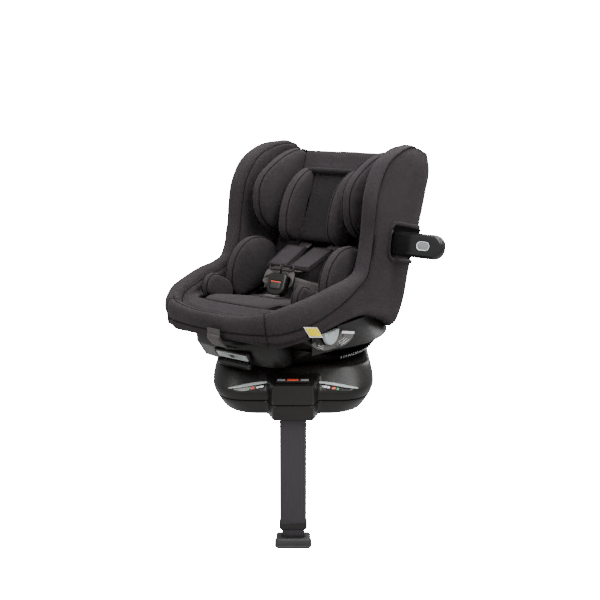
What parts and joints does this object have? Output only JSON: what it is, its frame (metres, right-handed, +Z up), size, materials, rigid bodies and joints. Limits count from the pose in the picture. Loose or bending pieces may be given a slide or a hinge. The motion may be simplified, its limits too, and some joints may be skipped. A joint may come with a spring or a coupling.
{
  "type": "convertible child car seat",
  "caption": "Padded bucket child seat that swivels and reclines on a base with a telescopic load leg, sliding rear anchor arms, height-adjustable headrest and fold-out side pods.",
  "frame": {"origin": "foot of the swivel axis in the plane of the base underside, which rests on the vehicle seat", "axes": "+Z up along the swivel axis, -Y towards the front of the base where the load leg hangs, +X to the right of the base seen from its front"},
  "size_m": [0.6597, 0.7025, 0.923],
  "materials": {
    "seat_fabric": "woven melange",
    "padding": "soft knit",
    "webbing": "woven polyester webbing",
    "black_plastic": "fine moulded grain, satin",
    "gloss_black": "polished",
    "silver_plastic": "satin",
    "red_plastic": "satin",
    "steel": "zinc plated",
    "leg_tube": "satin",
    "rubber": "matt"
  },
  "bodies": {
    "base": {"base_lower_shell": "black_plastic", "base_upper_shell": "black_plastic", "crescent_trim_left": "silver_plastic", "crescent_trim_right": "silver_plastic", "turntable_ring": "steel", "leg_indicator": "red_plastic", "leg_pivot_pin": "steel"},
    "leg_upper": {"leg_outer_tube": "leg_tube"},
    "leg_button": {"leg_height_button": "silver_plastic"},
    "leg_lower": {"leg_inner_tube": "leg_tube", "leg_foot": "rubber", "leg_foot_sole": "rubber"},
    "isofix": {"isofix_arm_left": "steel", "isofix_arm_right": "steel", "isofix_crossbar": "steel", "isofix_connector_left": "black_plastic", "isofix_connector_right": "black_plastic"},
    "hook_left": {"isofix_hook_left": "steel"},
    "hook_right": {"isofix_hook_right": "steel"},
    "release_left": {"isofix_release_left": "red_plastic"},
    "release_right": {"isofix_release_right": "red_plastic"},
    "carriage": {"swivel_carriage": "black_plastic", "swivel_spindle": "steel"},
    "seat": {"seat_shell": "black_plastic", "seat_cover": "seat_fabric", "front_fairing": "black_plastic", "handle_plate": "silver_plastic", "adjuster_strap": "webbing", "elastic_loop_left": "webbing", "elastic_loop_right": "webbing", "seat_insert": "padding", "body_bolster_left": "padding", "body_bolster_right": "padding", "leg_bolster_left": "padding", "leg_bolster_right": "padding", "shoulder_strap_left": "webbing", "shoulder_strap_right": "webbing", "shoulder_pad_left": "padding", "shoulder_pad_right": "padding", "lap_strap_left": "webbing", "lap_strap_right": "webbing", "buckle_tongue_left": "steel", "buckle_tongue_right": "steel", "buckle_body": "black_plastic", "crotch_pad": "padding", "pod_pin_left": "steel", "pod_pin_right": "steel"},
    "headrest": {"headrest_shell": "black_plastic", "headrest_pad": "padding", "head_pillow": "padding"},
    "headrest_release": {"headrest_lever": "black_plastic"},
    "handle": {"recline_handle": "black_plastic"},
    "adjuster_button": {"harness_adjuster_button": "gloss_black"},
    "turn_button_left": {"rotation_button_left": "silver_plastic"},
    "turn_button_right": {"rotation_button_right": "silver_plastic"},
    "buckle_press": {"buckle_button": "red_plastic"},
    "pod_left": {"side_pod_left": "gloss_black"},
    "pod_right": {"side_pod_right": "gloss_black"},
    "pod_press_left": {"pod_button_left": "silver_plastic"},
    "pod_press_right": {"pod_button_right": "silver_plastic"}
  },
  "joints": [
    {"name": "seat_swivel", "type": "hinge", "parent": "base", "child": "carriage", "pos_m": [0, 0, 0], "axis": [0, 0, 1], "continuous": true},
    {"name": "seat_recline", "type": "hinge", "parent": "carriage", "child": "seat", "pos_m": [0, 0, 0.52], "axis": [-0.8192, 0.5736, 0], "range_deg": [0, 15]},
    {"name": "headrest_height", "type": "slide", "parent": "seat", "child": "headrest", "axis": [0.2333, 0.3332, 0.9135], "range_m": [0, 0.15]},
    {"name": "headrest_lever_lift", "type": "slide", "parent": "headrest", "child": "headrest_release", "axis": [0.2333, 0.3332, 0.9135], "range_m": [0, 0.006], "stiffness_N_per_m": 300},
    {"name": "pod_left_hinge", "type": "hinge", "parent": "seat", "child": "pod_left", "pos_m": [0.23602, -0.03342, 0.371], "axis": [0.1193, 0.1703, 0.9781], "range_deg": [0, 90]},
    {"name": "pod_right_hinge", "type": "hinge", "parent": "seat", "child": "pod_right", "pos_m": [-0.11212, 0.21035, 0.371], "axis": [0.1193, 0.1703, 0.9781], "range_deg": [0, 90]},
    {"name": "pod_left_button", "type": "slide", "parent": "pod_left", "child": "pod_press_left", "axis": [0.561, 0.8013, -0.2079], "range_m": [0, 0.0012], "stiffness_N_per_m": 300},
    {"name": "pod_right_button", "type": "slide", "parent": "pod_right", "child": "pod_press_right", "axis": [0.8192, -0.5736, 0], "range_m": [0, 0.0012], "stiffness_N_per_m": 300},
    {"name": "leg_fold", "type": "hinge", "parent": "base", "child": "leg_upper", "pos_m": [0, -0.234, 0.034], "axis": [1, 0, 0], "range_deg": [0, 90]},
    {"name": "leg_extension", "type": "slide", "parent": "leg_upper", "child": "leg_lower", "axis": [0, 0, 1], "range_m": [-0.19, 0.015]},
    {"name": "leg_height_button_press", "type": "slide", "parent": "leg_upper", "child": "leg_button", "axis": [0, -1, 0], "range_m": [0, 0.0009], "stiffness_N_per_m": 300},
    {"name": "isofix_extension", "type": "slide", "parent": "base", "child": "isofix", "axis": [0, 1, 0], "range_m": [0, 0.05]},
    {"name": "isofix_hook_left_open", "type": "hinge", "parent": "isofix", "child": "hook_left", "pos_m": [0.14, 0.2965, 0.039], "axis": [1, 0, 0], "range_deg": [0, 25], "stiffness_Nm_per_rad": 0.3},
    {"name": "isofix_release_left_pull", "type": "slide", "parent": "isofix", "child": "release_left", "axis": [0, 1, 0], "range_m": [0, 0.006], "stiffness_N_per_m": 300},
    {"name": "isofix_hook_right_open", "type": "hinge", "parent": "isofix", "child": "hook_right", "pos_m": [-0.14, 0.2965, 0.039], "axis": [1, 0, 0], "range_deg": [0, 25], "stiffness_Nm_per_rad": 0.3},
    {"name": "isofix_release_right_pull", "type": "slide", "parent": "isofix", "child": "release_right", "axis": [0, 1, 0], "range_m": [0, 0.006], "stiffness_N_per_m": 300},
    {"name": "recline_handle_pull", "type": "slide", "parent": "seat", "child": "handle", "axis": [-0.5736, -0.8192, 0], "range_m": [0, 0.01], "stiffness_N_per_m": 600},
    {"name": "harness_adjuster_press", "type": "slide", "parent": "seat", "child": "adjuster_button", "axis": [0.4581, 0.6542, 0.6017], "range_m": [0, 0.0008], "stiffness_N_per_m": 300},
    {"name": "turn_button_left_press", "type": "slide", "parent": "seat", "child": "turn_button_left", "axis": [-0.8192, 0.5736, 0], "range_m": [0, 0.0015], "stiffness_N_per_m": 400},
    {"name": "turn_button_right_press", "type": "slide", "parent": "seat", "child": "turn_button_right", "axis": [0.8192, -0.5736, 0], "range_m": [0, 0.0015], "stiffness_N_per_m": 400},
    {"name": "buckle_button_press", "type": "slide", "parent": "seat", "child": "buckle_press", "axis": [0.524, 0.7483, -0.4067], "range_m": [0, 0.0012], "stiffness_N_per_m": 300}
  ]
}
